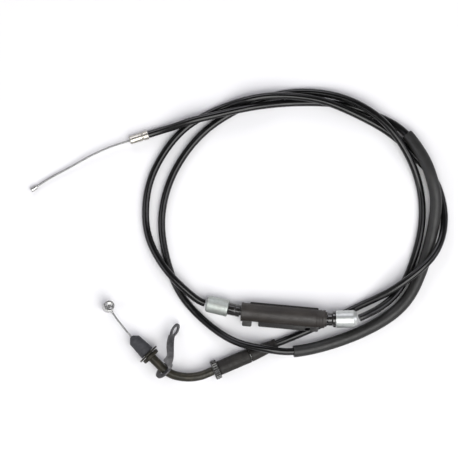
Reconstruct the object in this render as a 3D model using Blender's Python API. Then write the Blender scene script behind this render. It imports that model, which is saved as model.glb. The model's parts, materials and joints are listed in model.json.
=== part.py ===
"""Scooter throttle cable: two cased inner cables joined by an inline junction box.

The assembly lies on the plane z = 0, in metres. Two black casings are coiled in a loose loop.
The carburettor end leaves it at the upper left, and the throttle end, with its bent guide tube,
adjuster and bracket, leaves it at the lower left.
"""

import math

import bmesh
import bpy
import numpy as np
from mathutils import Matrix, Vector

# ---------------------------------------------------------------- driving dimensions (metres)
GAP = 0.0003                  # clearance between pieces that meet
SEGMENTS = 24                 # facets round a turned piece
STROKE = 0.012                # working stroke of the inner cable

CASING_RADIUS = 0.00255
WIRE_RADIUS = 0.0007
WIRE_BORE = 0.0010            # bore of the small pieces that the inner cable runs through
SLEEVE_RADIUS = 0.0042
SLEEVE_BORE = 0.0031
POINT_SPACING = 0.0125        # distance between a casing's points

# Carburettor end: the ferrule's mouth, and the direction into the casing.
CARB_MOUTH = (-0.0706, 0.0807, 0.0034)
CARB_HEADING = 17.8
CARB_FERRULE_LENGTH = 0.0134
CARB_FERRULE_RADIUS = 0.0029
CARB_FERRULE_BORE = 0.0013
CARB_NIPPLE_LENGTH = 0.0050
CARB_NIPPLE_RADIUS = 0.0016

# Throttle end: the tip of its rubber boot, and the direction into the guide tube.
THROTTLE_TIP = (-0.06916, -0.05679, 0.00785)
THROTTLE_HEADING = -45.0
TUBE_RADIUS = 0.0031
TUBE_BORE = 0.0025
LINER_RADIUS = 0.0021
LINER_BORE = 0.0011
BOOT_RADIUS = 0.0053
BOOT_LENGTH = 0.0160
FLANGE_RADIUS = 0.00785
FLANGE_THICKNESS = 0.0012
COLLAR_RADIUS = 0.0064
BARREL_NIPPLE_RADIUS = 0.0038
BARREL_NIPPLE_HEIGHT = 0.0078
BARREL_NIPPLE_LEAN = 16.0     # degrees from upright
PLATE_POSITION = 0.0325       # where the bracket's ring stands on the tube
PLATE_THICKNESS = 0.0012
PLATE_RADIUS = 0.0072
PLATE_BORE = 0.0041
PLATE_TILT = 26.0             # the ring leans towards the bend by this many degrees
EYE_RADIUS = 0.0053
EYE_HOLE_RADIUS = 0.0032

# Adjuster: the centre of its knurled wheel, and the direction towards the casing.
WHEEL_CENTRE = (-0.01015, -0.0796, 0.0070)
ADJUSTER_HEADING = 22.9
ADJUSTER_PITCH = -3.2
WHEEL_RADIUS = 0.0069
WHEEL_THICKNESS = 0.0042
WHEEL_TEETH = 28
ADJUSTER_TRAVEL = 0.005       # how far the adjuster moves out along the casing
SOCKET_RADIUS = 0.0042
SOCKET_BORE = 0.0036
SOCKET_LENGTH = 0.0105
CAP_WALL = 0.0012
CAP_BORE = 0.0029
CONE_LENGTH = 0.0199
COVER_RADIUS = 0.0051

# Junction box: the centres of its two end faces, and the headings of its two ferrules.
BOX_START = (0.0077, -0.0391, 0.00775)
BOX_END = (0.0672, -0.0445, 0.0119)
BOX_RADIUS = 0.0063
BOX_CAVITY_RADIUS = 0.0050
BOX_WALL = 0.0020
BOX_END_BORE = 0.0036
THROTTLE_FERRULE_HEADING = 167.0
CARB_FERRULE_HEADING = 1.2
FERRULE_BORE = 0.0024
NECK_SPIGOT_RADIUS = 0.0030
SHUTTLE_START = BOX_WALL + 2.0 * STROKE
SHUTTLE_LENGTH = 0.0280
SHUTTLE_RADIUS = 0.0046
SHUTTLE_NIPPLE_RADIUS = 0.0020
SHUTTLE_NIPPLE_LENGTH = 0.0045

# Route of the carburettor wire, from inside the ferrule's mouth to its nipple.
CARB_WIRE_ROUTE = [
    (-0.06984, 0.08094, 0.0034), (-0.0763, 0.0789, 0.0034), (-0.0830, 0.0767, 0.0034),
    (-0.0912, 0.0733, 0.0033), (-0.0980, 0.0701, 0.0030), (-0.1050, 0.0663, 0.0026),
    (-0.1120, 0.0623, 0.0023), (-0.1190, 0.0586, 0.0020), (-0.1260, 0.0548, 0.0018),
    (-0.1316, 0.0514, 0.0017), (-0.1357, 0.0486, 0.0017),
]

# Route of the carburettor casing: ferrule, top of the loop, sleeve, once round, junction box.
CARB_CASING_ROUTE = [
    (-0.0575, 0.0849, 0.0034), (-0.0490, 0.0875, 0.0038), (-0.0385, 0.0906, 0.0059),
    (-0.0280, 0.0940, 0.0080), (-0.0168, 0.0968, 0.0081), (-0.0042, 0.0997, 0.0081),
    (0.0140, 0.1036, 0.0081), (0.0350, 0.1066, 0.0036), (0.0518, 0.1074, 0.0026),
    (0.0805, 0.1055, 0.0026), (0.1022, 0.0983, 0.0030), (0.1140, 0.0924, 0.0046),
    (0.1232, 0.0851, 0.0062), (0.1306, 0.0753, 0.0081), (0.1370, 0.0638, 0.0101),
    (0.1413, 0.0510, 0.0104), (0.1437, 0.0366, 0.0083), (0.1400, 0.0107, 0.0046),
    (0.1337, -0.0103, 0.0045), (0.1218, -0.0327, 0.0045), (0.0980, -0.0502, 0.0060),
    (0.0707, -0.0611, 0.0084), (0.0434, -0.0669, 0.0110), (0.0252, -0.0653, 0.0129),
    (0.0070, -0.0613, 0.0098), (-0.0084, -0.0534, 0.0050), (-0.0259, -0.0383, 0.0026),
    (-0.0385, -0.0201, 0.0026), (-0.0466, 0.0065, 0.0026), (-0.0479, 0.0296, 0.0026),
    (-0.0399, 0.0576, 0.0026), (-0.0196, 0.0856, 0.0026), (0.0035, 0.1015, 0.0026),
    (0.0266, 0.1113, 0.0026), (0.0511, 0.1148, 0.0028), (0.0742, 0.1118, 0.0056),
    (0.0924, 0.1043, 0.0082), (0.1092, 0.0913, 0.0098), (0.1239, 0.0709, 0.0070),
    (0.1326, 0.0485, 0.0028), (0.1341, 0.0226, 0.0026), (0.1271, -0.0061, 0.0026),
    (0.1162, -0.0264, 0.0046), (0.1022, -0.0376, 0.0102), (0.0955, -0.0410, 0.0125),
    (0.0920, -0.0426, 0.0132), (0.0896, -0.0436, 0.0135),
]

# Route of the throttle casing: junction box, outside of the loop, under the box, adjuster.
THROTTLE_CASING_ROUTE = [
    (-0.0178, -0.0332, 0.0060), (-0.0217, -0.0317, 0.0063), (-0.0284, -0.0267, 0.0072),
    (-0.0385, -0.0173, 0.0083), (-0.0486, -0.0047, 0.0072), (-0.0574, 0.0135, 0.0034),
    (-0.0594, 0.0331, 0.0026), (-0.0563, 0.0520, 0.0026), (-0.0472, 0.0710, 0.0026),
    (-0.0322, 0.0889, 0.0026), (-0.0150, 0.0997, 0.0026), (-0.0014, 0.1053, 0.0042),
    (0.0119, 0.1091, 0.0079), (0.0280, 0.1116, 0.0082), (0.0490, 0.1109, 0.0082),
    (0.0665, 0.1075, 0.0082), (0.0805, 0.1022, 0.0073), (0.0924, 0.0968, 0.0052),
    (0.1050, 0.0902, 0.0029), (0.1162, 0.0824, 0.0026), (0.1260, 0.0732, 0.0026),
    (0.1400, 0.0576, 0.0026), (0.1463, 0.0464, 0.0026), (0.1498, 0.0296, 0.0034),
    (0.1480, 0.0135, 0.0068), (0.1421, 0.0009, 0.0109), (0.1337, -0.0085, 0.0121),
    (0.1232, -0.0170, 0.0111), (0.1106, -0.0254, 0.0079), (0.0966, -0.0324, 0.0042),
    (0.0805, -0.0401, 0.0026), (0.0616, -0.0492, 0.0026), (0.0434, -0.0571, 0.0035),
    (0.0326, -0.0615, 0.0044), (0.0183, -0.0676, 0.0053), (0.0090, -0.0715, 0.00583),
]

# The sleeve covers this stretch of the carburettor casing, counted in the casing's points.
SLEEVE_START = (0.1234, 0.0848, 0.0063)
SLEEVE_END = (0.0440, -0.0669, 0.0109)

# Centreline of the guide tube, from inside the rubber boot to the adjuster.
TUBE_ROUTE = [
    (-0.06527, -0.06068, 0.00785), (-0.0610, -0.06495, 0.00785), (-0.0567, -0.06925, 0.00785),
    (-0.0525, -0.07345, 0.00785), (-0.0482, -0.07775, 0.00785), (-0.0463, -0.0795, 0.00785),
    (-0.0427, -0.0819, 0.0078), (-0.0376, -0.0839, 0.0078), (-0.0300, -0.0849, 0.0077),
    (-0.0240, -0.0845, 0.0076), (-0.0187, -0.0832, 0.0075), (-0.0150, -0.08165, 0.0073),
    (-0.01217, -0.08046, 0.00712),
]

# Arm of the bracket: its left and right edges, from the ring plate to the eye.
ARM_EDGES = [
    ((-0.0434, -0.0806, 0.0131), (-0.0409, -0.0781, 0.0128)),
    ((-0.0438, -0.0770, 0.0131), (-0.0408, -0.0757, 0.0129)),
    ((-0.0455, -0.0747, 0.0131), (-0.0401, -0.0738, 0.0129)),
    ((-0.0466, -0.0727, 0.0131), (-0.0396, -0.0718, 0.0129)),
    ((-0.0446, -0.0703, 0.0130), (-0.0394, -0.0698, 0.0127)),
    ((-0.0443, -0.0660, 0.0126), (-0.0394, -0.0658, 0.0116)),
    ((-0.0443, -0.0615, 0.0117), (-0.0395, -0.0613, 0.0090)),
    ((-0.0438, -0.0583, 0.0101), (-0.0394, -0.0584, 0.0055)),
    ((-0.0426, -0.0552, 0.0085), (-0.0392, -0.0562, 0.0027)),
]
ARM_THICKNESS = 0.0011
EYE_CENTRE = (-0.0389, -0.0524, 0.0055)
EYE_DIRECTION = (0.46, 0.89, 0.0)
EYE_TILT = 67.0


# ---------------------------------------------------------------- materials
def material(name, colour, roughness, metallic=0.0):
    result = bpy.data.materials.new(name)
    result.use_nodes = True
    shader = result.node_tree.nodes["Principled BSDF"]
    shader.inputs["Base Color"].default_value = (*colour, 1.0)
    shader.inputs["Roughness"].default_value = roughness
    shader.inputs["Metallic"].default_value = metallic
    return result


def make_materials():
    return {
        "casing": material("casing_vinyl", (0.020, 0.020, 0.021), 0.35),
        "sleeve": material("sleeve_vinyl", (0.035, 0.035, 0.036), 0.65),
        "rubber": material("boot_rubber", (0.055, 0.056, 0.064), 0.75),
        "box": material("box_plastic", (0.045, 0.042, 0.040), 0.50),
        "shuttle": material("shuttle_plastic", (0.55, 0.54, 0.50), 0.50),
        "liner": material("liner_plastic", (0.75, 0.75, 0.72), 0.40),
        "tube": material("tube_black_plating", (0.060, 0.060, 0.045), 0.30, 0.9),
        "bracket": material("bracket_dark_zinc", (0.15, 0.15, 0.16), 0.45, 0.8),
        "wire": material("wire_steel", (0.45, 0.45, 0.46), 0.35, 1.0),
        "nickel": material("ferrule_nickel", (0.62, 0.58, 0.52), 0.25, 1.0),
        "zinc": material("ferrule_zinc", (0.70, 0.72, 0.70), 0.35, 1.0),
    }


# ---------------------------------------------------------------- frames
def frame_empty(name, location, heading, pitch=0.0):
    """An empty whose +X points along heading (degrees from +X) and pitch (degrees up)."""
    empty = bpy.data.objects.new(name, None)
    empty.empty_display_size = 0.01
    empty.location = location
    empty.rotation_euler = (0.0, -math.radians(pitch), math.radians(heading))
    bpy.context.collection.objects.link(empty)
    bpy.context.view_layer.update()
    return empty


def add_to(parent, obj, location=(0.0, 0.0, 0.0)):
    obj.parent = parent
    obj.location = location
    return obj


# ---------------------------------------------------------------- modelling tools
def new_object(name, mesh, surface):
    obj = bpy.data.objects.new(name, mesh)
    obj.data.materials.append(surface)
    bpy.context.collection.objects.link(obj)
    return obj


def finish_mesh(name, bm, surface, sharp_degrees=35.0):
    bmesh.ops.recalc_face_normals(bm, faces=bm.faces[:])
    mesh = bpy.data.meshes.new(name)
    bm.to_mesh(mesh)
    bm.free()
    mesh.shade_smooth()
    mesh.set_sharp_from_angle(angle=math.radians(sharp_degrees))
    return new_object(name, mesh, surface)


def turned(name, profile, surface, segments=SEGMENTS):
    """Spins a closed outline of (x, radius) points about the X axis."""
    bm = bmesh.new()
    ring = [bm.verts.new((x, radius, 0.0)) for x, radius in profile]
    edges = [bm.edges.new((a, b)) for a, b in zip(ring, ring[1:])]
    if profile[0][1] > 0.0:
        edges.append(bm.edges.new((ring[-1], ring[0])))
    bmesh.ops.spin(bm, geom=ring + edges, cent=(0, 0, 0), axis=(1, 0, 0),
                   angle=math.tau, steps=segments, use_merge=True)
    bmesh.ops.remove_doubles(bm, verts=bm.verts[:], dist=1e-6)
    return finish_mesh(name, bm, surface)


def tube_profile(start, end, bore, radius):
    return [(start, bore), (start, radius), (end, radius), (end, bore)]


def rod(name, start, end, radius, surface, segments=12):
    return turned(name, [(start, 0.0), (start, radius), (end, radius), (end, 0.0)],
                  surface, segments)


def block(name, low, high, surface):
    bm = bmesh.new()
    centre = (Vector(low) + Vector(high)) / 2.0
    size = Vector(high) - Vector(low)
    scale = Matrix.Translation(centre) @ Matrix.Diagonal((*size, 1.0))
    bmesh.ops.create_cube(bm, size=1.0, matrix=scale)
    return finish_mesh(name, bm, surface)


def make_cutter(obj, parent):
    obj.hide_render = True
    obj.display_type = "WIRE"
    obj.parent = parent
    return obj


def boolean(obj, other, operation):
    modifier = obj.modifiers.new(f"{operation.lower()}_{other.name}", "BOOLEAN")
    modifier.object = other
    modifier.operation = operation


def smooth_route(points, spacing):
    """Evenly spaced points on a natural cubic spline through the route's own points."""
    route = np.array(points, float)
    steps = np.linalg.norm(np.diff(route, axis=0), axis=1) ** 0.5
    count = len(route)
    system = np.eye(count)
    right = np.zeros((count, 3))
    for i in range(1, count - 1):
        before, after = steps[i - 1], steps[i]
        system[i, i - 1:i + 2] = (before, 2.0 * (before + after), after)
        slope_after = (route[i + 1] - route[i]) / after
        slope_before = (route[i] - route[i - 1]) / before
        right[i] = 6.0 * (slope_after - slope_before)
    bend = np.linalg.solve(system, right)
    fine = []
    for i, step in enumerate(steps):
        u = np.linspace(0.0, step, 40, endpoint=False)[:, None]
        slope = (route[i + 1] - route[i]) / step - step * (2.0 * bend[i] + bend[i + 1]) / 6.0
        cubic = (bend[i + 1] - bend[i]) / (6.0 * step)
        fine.append(route[i] + slope * u + bend[i] / 2.0 * u ** 2 + cubic * u ** 3)
    fine = np.vstack(fine + [route[-1:]])
    along = np.r_[0.0, np.cumsum(np.linalg.norm(np.diff(fine, axis=0), axis=1))]
    places = np.linspace(0.0, along[-1], max(2, round(along[-1] / spacing) + 1))
    return np.stack([np.interp(places, along, fine[:, k]) for k in range(3)], axis=1)


def casing_points(route):
    """A casing's points, none lower than a casing that lies on the surface."""
    points = smooth_route(route, POINT_SPACING)
    points[:, 2] = np.maximum(points[:, 2], CASING_RADIUS)
    return points


def route_curve(name, points, radius, surface, resolution, caps=True):
    curve = bpy.data.curves.new(name, "CURVE")
    curve.dimensions = "3D"
    curve.bevel_depth = radius
    curve.bevel_resolution = resolution
    curve.resolution_u = 1
    curve.render_resolution_u = 0
    curve.use_fill_caps = caps
    spline = curve.splines.new("POLY")
    spline.points.add(len(points) - 1)
    for point, place in zip(spline.points, points):
        point.co = (*place, 1.0)
    return new_object(name, curve, surface)


def hollow_tube(name, points, radius, bore, surface, sides=16):
    """Sweeps an annulus along points, with its rings square to the route."""
    bm = bmesh.new()
    path = [Vector(p) for p in points]
    tangents = [(b - a).normalized() for a, b in zip(path, path[1:])]
    side = Vector((0.0, 0.0, 1.0)).cross(tangents[0]).normalized()
    rings = []
    for i, place in enumerate(path):
        before = tangents[max(i - 1, 0)]
        after = tangents[min(i, len(tangents) - 1)]
        tangent = (before + after).normalized()
        side = (side - tangent * side.dot(tangent)).normalized()
        up = tangent.cross(side)
        ring = []
        for size in (radius, bore):
            angles = [math.tau * k / sides for k in range(sides)]
            ring.append([bm.verts.new(place + size * (side * math.cos(a) + up * math.sin(a)))
                         for a in angles])
        rings.append(ring)
    for k in range(sides):
        n = (k + 1) % sides
        for first, second in zip(rings, rings[1:]):
            for wall in (0, 1):
                bm.faces.new((first[wall][k], first[wall][n], second[wall][n], second[wall][k]))
        for ring in (rings[0], rings[-1]):
            bm.faces.new((ring[0][k], ring[0][n], ring[1][n], ring[1][k]))
    return finish_mesh(name, bm, surface, 60.0)


# ---------------------------------------------------------------- carburettor end
def make_carburettor_end(mats):
    frame = frame_empty("carburettor_axis", CARB_MOUTH, CARB_HEADING)
    radius, length = CARB_FERRULE_RADIUS, CARB_FERRULE_LENGTH
    profile = [
        (0.0, CARB_FERRULE_BORE), (0.0, radius - 0.0004), (0.0004, radius),
        (0.0088, radius), (0.0091, radius - 0.0004), (0.0096, radius - 0.0004),
        (0.0099, radius + 0.0002), (length - 0.0010, radius + 0.0002),
        (length - 0.0010, radius + 0.0004), (length, radius + 0.0004),
        (length, CARB_FERRULE_BORE),
    ]
    add_to(frame, turned("carb_ferrule", profile, mats["nickel"]))

    points = smooth_route(CARB_WIRE_ROUTE, 0.0035)
    local = [Vector(p) - Vector(CARB_MOUTH) for p in points]
    wire = route_curve("carb_wire", local, WIRE_RADIUS, mats["wire"], 2)
    wire.location = CARB_MOUTH

    end, before = Vector(points[-1]), Vector(points[-2])
    heading = (end - before).to_track_quat("X", "Z")
    bevel = 0.0003
    nipple = turned("carb_nipple", [
        (GAP, 0.0), (GAP, CARB_NIPPLE_RADIUS - bevel), (GAP + bevel, CARB_NIPPLE_RADIUS),
        (CARB_NIPPLE_LENGTH - bevel, CARB_NIPPLE_RADIUS),
        (CARB_NIPPLE_LENGTH, CARB_NIPPLE_RADIUS - bevel), (CARB_NIPPLE_LENGTH, 0.0),
    ], mats["wire"], 20)
    nipple.location = end
    nipple.rotation_mode = "QUATERNION"
    nipple.rotation_quaternion = heading


# ---------------------------------------------------------------- casings
def nearest(points, place):
    return int(np.argmin(np.linalg.norm(points - np.array(place), axis=1)))


def make_casings(mats):
    carb = casing_points(CARB_CASING_ROUTE)
    route_curve("carb_casing", carb, CASING_RADIUS, mats["casing"], 2)
    first, last = nearest(carb, SLEEVE_START), nearest(carb, SLEEVE_END)
    hollow_tube("abrasion_sleeve", carb[first:last + 1], SLEEVE_RADIUS, SLEEVE_BORE,
                mats["sleeve"], 12)
    throttle = casing_points(THROTTLE_CASING_ROUTE)
    route_curve("throttle_casing", throttle, CASING_RADIUS, mats["casing"], 2)


# ---------------------------------------------------------------- throttle end
def make_throttle_end(mats):
    frame = frame_empty("throttle_axis", THROTTLE_TIP, THROTTLE_HEADING)
    boot = [
        (0.0, LINER_BORE), (0.0, 0.0014), (0.0029, BOOT_RADIUS - 0.0010),
        (0.0034, BOOT_RADIUS - 0.0008), (BOOT_LENGTH - 0.0004, BOOT_RADIUS),
        (BOOT_LENGTH, BOOT_RADIUS - 0.0002), (BOOT_LENGTH, TUBE_RADIUS + GAP),
        (0.0050, TUBE_RADIUS + GAP), (0.0050, LINER_BORE),
    ]
    add_to(frame, turned("end_boot", boot, mats["rubber"]))
    flange = BOOT_LENGTH + GAP
    add_to(frame, turned("flange_washer", tube_profile(
        flange, flange + FLANGE_THICKNESS, TUBE_RADIUS + GAP, FLANGE_RADIUS), mats["tube"]))
    collar = flange + FLANGE_THICKNESS + GAP
    add_to(frame, turned("tube_collar", [
        (collar, TUBE_RADIUS + GAP), (collar, COLLAR_RADIUS - 0.0004),
        (collar + 0.0004, COLLAR_RADIUS), (collar + 0.0023, COLLAR_RADIUS),
        (collar + 0.0028, COLLAR_RADIUS - 0.0008), (collar + 0.0028, TUBE_RADIUS + GAP),
    ], mats["tube"]))

    tube = smooth_route(TUBE_ROUTE, 0.0025)
    hollow_tube("elbow_tube", tube, TUBE_RADIUS, TUBE_BORE, mats["tube"])
    hollow_tube("elbow_liner", tube[1:-4], LINER_RADIUS, LINER_BORE, mats["liner"], 12)

    wire_route = [
        (0.0300, 0.0, 0.0), (0.0200, 0.0, 0.0), (0.0100, 0.0, 0.0), (0.0030, 0.0, 0.0),
        (0.0, 0.0, 0.0), (-0.0060, 0.0005, 0.0), (-0.0120, 0.0011, 0.0),
        (-0.0170, 0.0018, 0.0), (-0.0213, 0.0026, 0.0),
    ]
    points = smooth_route(wire_route, 0.0025)
    add_to(frame, route_curve("throttle_wire", points, WIRE_RADIUS, mats["wire"], 2))

    end = Vector(points[-1])
    direction = (end - Vector(points[-2])).normalized()
    heading = direction.to_track_quat("X", "Z")
    solder = turned("solder_collar", [
        (GAP, 0.0), (GAP, 0.0012), (0.0010, 0.0015), (0.0010, 0.0)], mats["zinc"], 16)
    add_to(frame, solder, end)
    solder.rotation_mode = "QUATERNION"
    solder.rotation_quaternion = heading

    half = BARREL_NIPPLE_HEIGHT / 2.0
    bevel = 0.0004
    barrel = turned("barrel_nipple", [
        (-half, 0.0), (-half, BARREL_NIPPLE_RADIUS - bevel), (bevel - half, BARREL_NIPPLE_RADIUS),
        (half - bevel, BARREL_NIPPLE_RADIUS), (half, BARREL_NIPPLE_RADIUS - bevel), (half, 0.0),
    ], mats["zinc"])
    add_to(frame, barrel, end + direction * (0.0010 + GAP + BARREL_NIPPLE_RADIUS))
    lean = math.radians(BARREL_NIPPLE_LEAN)
    side = direction.cross(Vector((0, 0, 1)))
    upright = Vector((0, 0, 1)) * math.cos(lean) + side * math.sin(lean)
    barrel.rotation_mode = "QUATERNION"
    barrel.rotation_quaternion = upright.to_track_quat("X", "Z")
    return frame


def make_arm(surface):
    """The flat arm: a strip between its two edges, with the plate's thickness."""
    lefts = [Vector(p) for p in smooth_route([left for left, _ in ARM_EDGES], 0.0020)]
    count = len(lefts)
    rights = spread_evenly([right for _, right in ARM_EDGES], count)
    middles = [(left + right) / 2.0 for left, right in zip(lefts, rights)]
    bm = bmesh.new()
    rings = []
    for i, (left, right) in enumerate(zip(lefts, rights)):
        along = middles[min(i + 1, count - 1)] - middles[max(i - 1, 0)]
        half = (right - left).cross(along).normalized() * ARM_THICKNESS / 2.0
        rings.append([bm.verts.new(place)
                      for place in (left - half, right - half, right + half, left + half)])
    for first, second in zip(rings, rings[1:]):
        for k in range(4):
            n = (k + 1) % 4
            bm.faces.new((first[k], first[n], second[n], second[k]))
    bm.faces.new(rings[0])
    bm.faces.new(rings[-1])
    bmesh.ops.triangulate(bm, faces=bm.faces[:])
    return finish_mesh("bracket_arm_guide", bm, surface)


def spread_evenly(route, count):
    """That many points at even distances along the smooth line through the route."""
    fine = smooth_route(route, 0.0002)
    places = np.linspace(0.0, len(fine) - 1, count).round().astype(int)
    return [Vector(fine[i]) for i in places]


def make_bracket(mats, frame):
    """A leaning ring plate on the guide tube, a flat arm and an eye, in one piece."""
    plate = add_to(frame, rod("bracket", -PLATE_THICKNESS / 2.0, PLATE_THICKNESS / 2.0,
                              PLATE_RADIUS, mats["bracket"], SEGMENTS),
                   (PLATE_POSITION, 0.0, 0.0))
    plate.rotation_euler = (0.0, math.radians(PLATE_TILT), 0.0)
    arm = make_cutter(make_arm(mats["bracket"]), None)

    direction = Vector(EYE_DIRECTION).normalized()
    level = direction.cross(Vector((0, 0, 1)))
    across = Matrix.Rotation(math.radians(EYE_TILT), 3, direction) @ level
    normal = direction.cross(across).normalized()
    eye = make_cutter(rod("bracket_eye_guide", -ARM_THICKNESS * 0.55, ARM_THICKNESS * 0.55,
                          EYE_RADIUS, mats["bracket"], SEGMENTS), None)
    hole = make_cutter(rod("bracket_hole_cutter", -0.01, 0.01, EYE_HOLE_RADIUS,
                           mats["bracket"], SEGMENTS), None)
    for tool in (eye, hole):
        tool.location = EYE_CENTRE
        tool.rotation_mode = "QUATERNION"
        tool.rotation_quaternion = normal.to_track_quat("X", "Z")
    bore = make_cutter(rod("bracket_bore_cutter", -0.01, 0.01, PLATE_BORE,
                           mats["bracket"], SEGMENTS), frame)
    bore.location = (PLATE_POSITION, 0.0, 0.0)
    boolean(plate, arm, "UNION")
    boolean(plate, eye, "UNION")
    boolean(plate, hole, "DIFFERENCE")
    boolean(plate, bore, "DIFFERENCE")


# ---------------------------------------------------------------- adjuster
def make_adjuster(mats):
    frame = frame_empty("adjuster_axis", WHEEL_CENTRE, ADJUSTER_HEADING, ADJUSTER_PITCH)
    shoulder = WHEEL_THICKNESS / 2.0
    casing_end = (Vector(THROTTLE_CASING_ROUTE[-1]) - Vector(WHEEL_CENTRE)).length
    cap_floor = casing_end - ADJUSTER_TRAVEL - 2.0 * GAP
    cap_start = cap_floor - CAP_WALL
    socket_floor = cap_start - GAP
    socket_end = socket_floor + SOCKET_LENGTH
    neck_radius = 0.0022
    barrel = [
        (-0.0085, WIRE_BORE), (-0.0085, neck_radius), (-shoulder, neck_radius),
        (-shoulder, SOCKET_RADIUS), (socket_end, SOCKET_RADIUS), (socket_end, SOCKET_BORE),
        (socket_floor, SOCKET_BORE), (socket_floor, WIRE_BORE),
    ]
    add_to(frame, turned("adjuster_barrel", barrel, mats["zinc"]))
    add_to(frame, make_wheel("adjuster_wheel", SOCKET_RADIUS + GAP, mats["box"]))

    cap_end = socket_end + 0.0022
    cap_radius = SOCKET_BORE - GAP
    add_to(frame, turned("casing_end_cap", [
        (cap_start, WIRE_BORE), (cap_start, cap_radius), (cap_end, cap_radius),
        (cap_end, CAP_BORE), (cap_floor, CAP_BORE), (cap_floor, WIRE_BORE)], mats["zinc"]))

    cover_end = socket_end + 0.0015
    add_to(frame, turned("adjuster_cover", tube_profile(
        shoulder + GAP, cover_end, SOCKET_RADIUS + GAP, COVER_RADIUS), mats["rubber"]))
    cone_start = cover_end + GAP
    cone_end = cone_start + CONE_LENGTH
    cone_bore = CASING_RADIUS + GAP + 0.0001
    lip = 0.0020
    add_to(frame, turned("adjuster_boot", [
        (cone_start, 0.0044), (cone_start, COVER_RADIUS - 0.0001),
        (cone_start + 0.0042, COVER_RADIUS - GAP),
        (cone_end - 1.5 * lip, 0.0036), (cone_end - 1.1 * lip, 0.0035),
        (cone_end - lip, 0.0039), (cone_end, 0.0039), (cone_end, cone_bore),
        (cone_end - 2.5 * lip, cone_bore), (cone_start + 0.0042, 0.0040),
    ], mats["rubber"]))


def make_wheel(name, bore, surface):
    """A knurled wheel: the outline steps in and out once for each tooth."""
    bm = bmesh.new()
    count = 2 * WHEEL_TEETH
    faces = []
    for x in (-WHEEL_THICKNESS / 2.0, WHEEL_THICKNESS / 2.0):
        outer, inner = [], []
        for k in range(count):
            angle = math.tau * k / count
            radius = WHEEL_RADIUS if k % 2 else WHEEL_RADIUS - 0.0004
            outer.append(bm.verts.new((x, radius * math.cos(angle), radius * math.sin(angle))))
            inner.append(bm.verts.new((x, bore * math.cos(angle), bore * math.sin(angle))))
        faces.append((outer, inner))
    (outer_a, inner_a), (outer_b, inner_b) = faces
    for k in range(count):
        n = (k + 1) % count
        bm.faces.new((outer_a[k], outer_a[n], inner_a[n], inner_a[k]))
        bm.faces.new((outer_b[k], outer_b[n], inner_b[n], inner_b[k]))
        bm.faces.new((outer_a[k], outer_a[n], outer_b[n], outer_b[k]))
        bm.faces.new((inner_a[k], inner_a[n], inner_b[n], inner_b[k]))
    return finish_mesh(name, bm, surface, 20.0)


# ---------------------------------------------------------------- junction box
def make_box_half(name, side, frame, length, mats):
    """One half of the box: side is +1 for the cover and -1 for the base."""
    rim = 0.0012
    body = add_to(frame, turned(name, [
        (0.0, 0.0), (0.0, BOX_RADIUS + 0.0003), (rim, BOX_RADIUS + 0.0003), (rim, BOX_RADIUS),
        (length - 0.0014, BOX_RADIUS), (length - 0.0014, BOX_RADIUS - 0.0011),
        (length, BOX_RADIUS - 0.0011), (length, 0.0),
    ], mats["box"]))
    lip = 0.0010
    low, high = (-lip, -GAP / 2) if side < 0 else (GAP / 2, lip)
    lips = {
        "back_lip": ((0.0056, 0.0058, low), (0.0535, 0.0073, high)),
        "front_lip": ((0.0124, -0.0094, low), (0.0545, -0.0058, high)),
        "front_tab": ((0.0012, -0.0100, low), (0.0078, -0.0058, high)),
    }
    for label, (corner, opposite) in lips.items():
        piece = block(f"{name}_{label}_guide", corner, opposite, mats["box"])
        boolean(body, make_cutter(piece, frame), "UNION")
    cavity = rod(f"{name}_cavity_cutter", BOX_WALL, length - BOX_WALL, BOX_CAVITY_RADIUS,
                 mats["box"], SEGMENTS)
    boolean(body, make_cutter(cavity, frame), "DIFFERENCE")
    bore = rod(f"{name}_bore_cutter", -0.005, length + 0.005, BOX_END_BORE, mats["box"], SEGMENTS)
    boolean(body, make_cutter(bore, frame), "DIFFERENCE")
    hole = block(f"{name}_hole_cutter", (0.0452, -0.0091, -0.005), (0.0486, -0.0072, 0.005),
                 mats["box"])
    boolean(body, make_cutter(hole, frame), "DIFFERENCE")
    far = 0.02
    low, high = (-GAP / 2, far) if side < 0 else (-far, GAP / 2)
    half = block(f"{name}_half_cutter", (-far, -far, low), (length + far, far, high), mats["box"])
    boolean(body, make_cutter(half, frame), "DIFFERENCE")


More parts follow.
